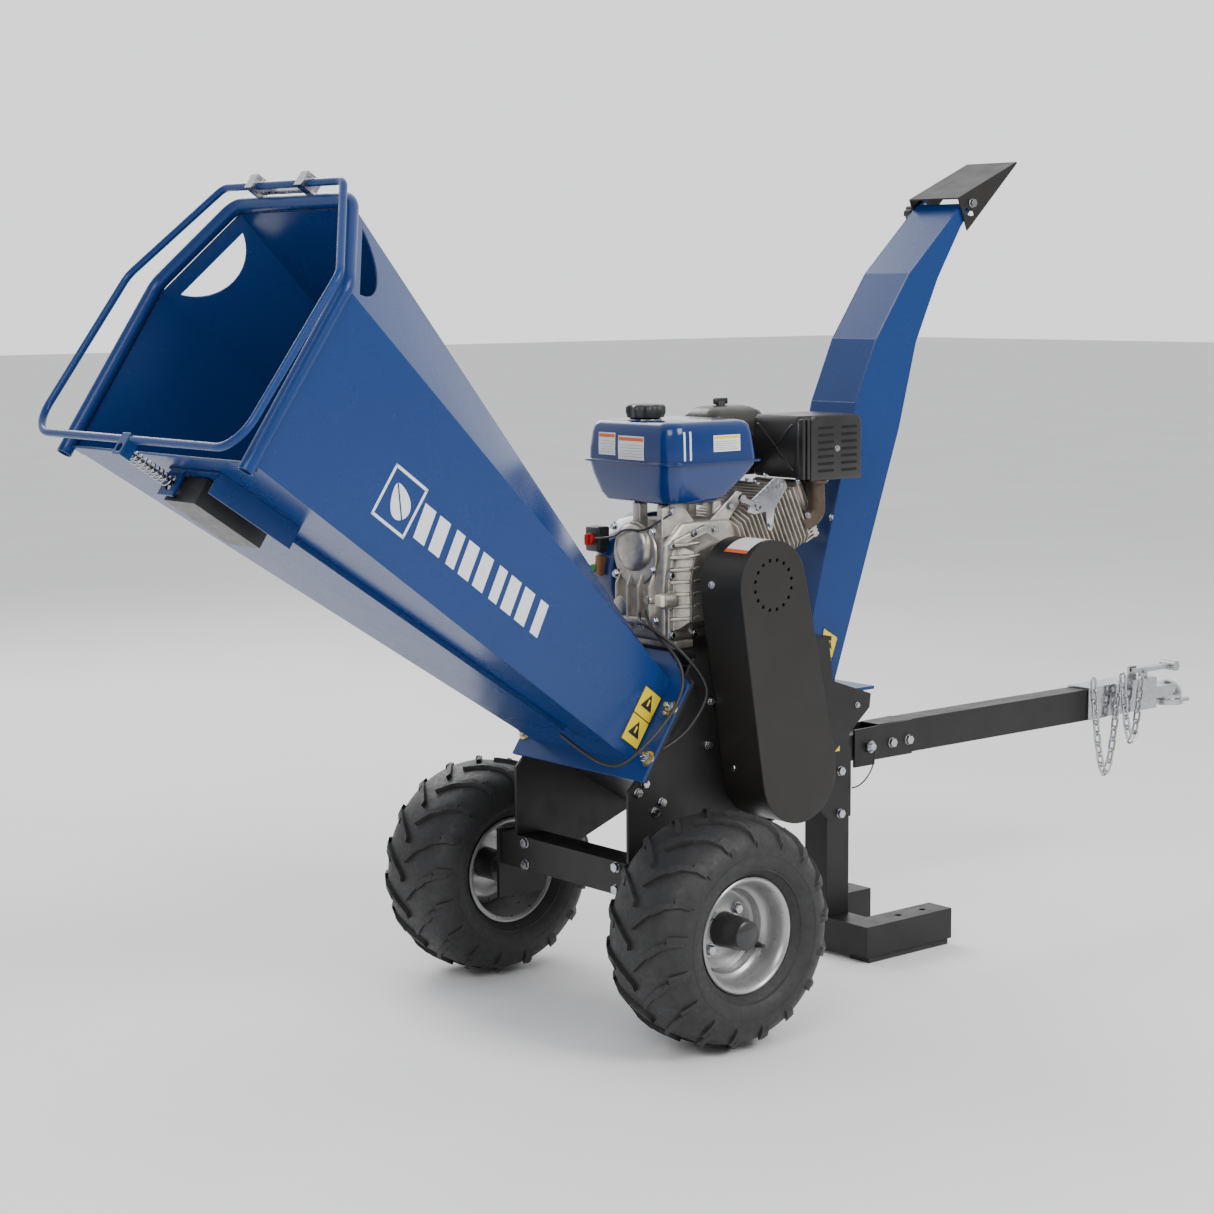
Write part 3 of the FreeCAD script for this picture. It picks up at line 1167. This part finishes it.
def fasteners():
    """Bolts that hold the frame, the hopper and the beam together."""
    pieces = []
    near = -cell("plate_outer")
    for along, up in ((-25, 432), (-41, 418), (14, 394), (-2, 379)):
        pieces.append(hex_bolt(Vector(along, near, up), Vector(0, -1, 0), 13, 0))
    for up in (358, 274):
        gusset = cell("post_size") / 2 + 5
        pieces.append(hex_bolt(Vector(cell("post_x"), -gusset, up), Vector(0, -1, 0), 15, 0))
        pieces.append(hex_bolt(Vector(cell("post_x"), gusset, up), Vector(0, 1, 0), 15, 0))
    for along in (731, 778):
        for sign in (-1, 1):
            at = Vector(along, sign * (cell("tow_wide") / 2 + 5), cell("tow_z") - 6)
            pieces.append(hex_bolt(at, Vector(0, sign, 0), 16, 0))
    front = cell("beam_x") - cell("beam_size") / 2
    for across in (-128, 128):
        for up in (-20, 20):
            pieces.append(hex_bolt(Vector(front, across, cell("beam_z") + up), Vector(-1, 0, 0), 15, 0))
    pieces.append(hex_bolt(Vector(124, near, 482), Vector(0, -1, 0), 13, 0))
    for sign in (-1, 1):
        at = Vector(cell("deflector_x"), sign * (cell("chute_half") + 6), cell("deflector_z"))
        pieces.append(hex_bolt(at, Vector(0, sign, 0), 14.2, 9))
    keep(shaped("fasteners", Part.makeCompound(pieces)), "fasteners")


LANYARD_ROUTE = [(667, -47, 389), (660, -52, 368), (645, -54, 346), (630, -50, 330), (618, -44, 322),
                 (612, -38, 321)]
STOP_CABLE_ROUTE = [(-130, -60, 518), (-116, -104, 490), (-108, -150, 474), (-96, -186, 476), (-68, -197, 500),
                    (-20, -195, 530), (22, -190, 566), (44, -186, 600), (46, -176, 640), (40, -130, 676),
                    (50, -80, 704), (62, -62, 718)]
SENSOR_CABLE_ROUTE = [(62, -48, 712), (36, -72, 704), (34, -112, 694), (56, -160, 662), (96, -178, 610),
                      (106, -182, 574), (72, -178, 528), (38, -174, 502), (1, -170, 488)]


def cords():
    """Thin wires held at both ends, each as straight runs joined by tangent arcs."""
    routes = [("lanyard", LANYARD_ROUTE, 1.4), ("stop_cable", STOP_CABLE_ROUTE, 3.0),
              ("sensor_cable", SENSOR_CABLE_ROUTE, 3.0)]
    for name, route, radius in routes:
        points = [Vector(*point) for point in route]
        wire = route_wire(points, cord_radii(name, points))
        tube = round_bar(wire, radius)
        expected = math.pi * radius ** 2 * wire.Length
        print(name, "length", round(wire.Length, 1), "volume ratio", round(tube.Volume / expected, 4))
        keep(shaped(name, tube), name)


def build():
    wheel_pair()
    axle()
    side_plates()
    rotor_housing()
    engine_deck()
    stand()
    rotor()
    drive()
    belt_guard()
    hopper()
    rim_and_bail()
    bail_linkage()
    chute()
    engine_core()
    engine_dress()
    engine_controls()
    tow_gear()
    fasteners()
    cords()
    doc.recompute()


def write_parts():
    faults = [obj.Label for obj in doc.Objects if {"Invalid", "Error"} & set(obj.State)]
    for obj in subparts:
        if obj.Shape.isNull() or not obj.Shape.isValid() or not obj.Shape.Solids:
            faults.append(obj.Label)
    if faults:
        raise RuntimeError("faulty: " + ", ".join(sorted(set(faults))))
    os.makedirs("parts", exist_ok=True)
    for obj in subparts:
        obj.Shape.exportStep(os.path.join("parts", obj.Label + ".step"))
    whole = Part.makeCompound([obj.Shape for obj in subparts])
    print(len(subparts), "sub-parts", whole.BoundBox)


build()
write_parts()
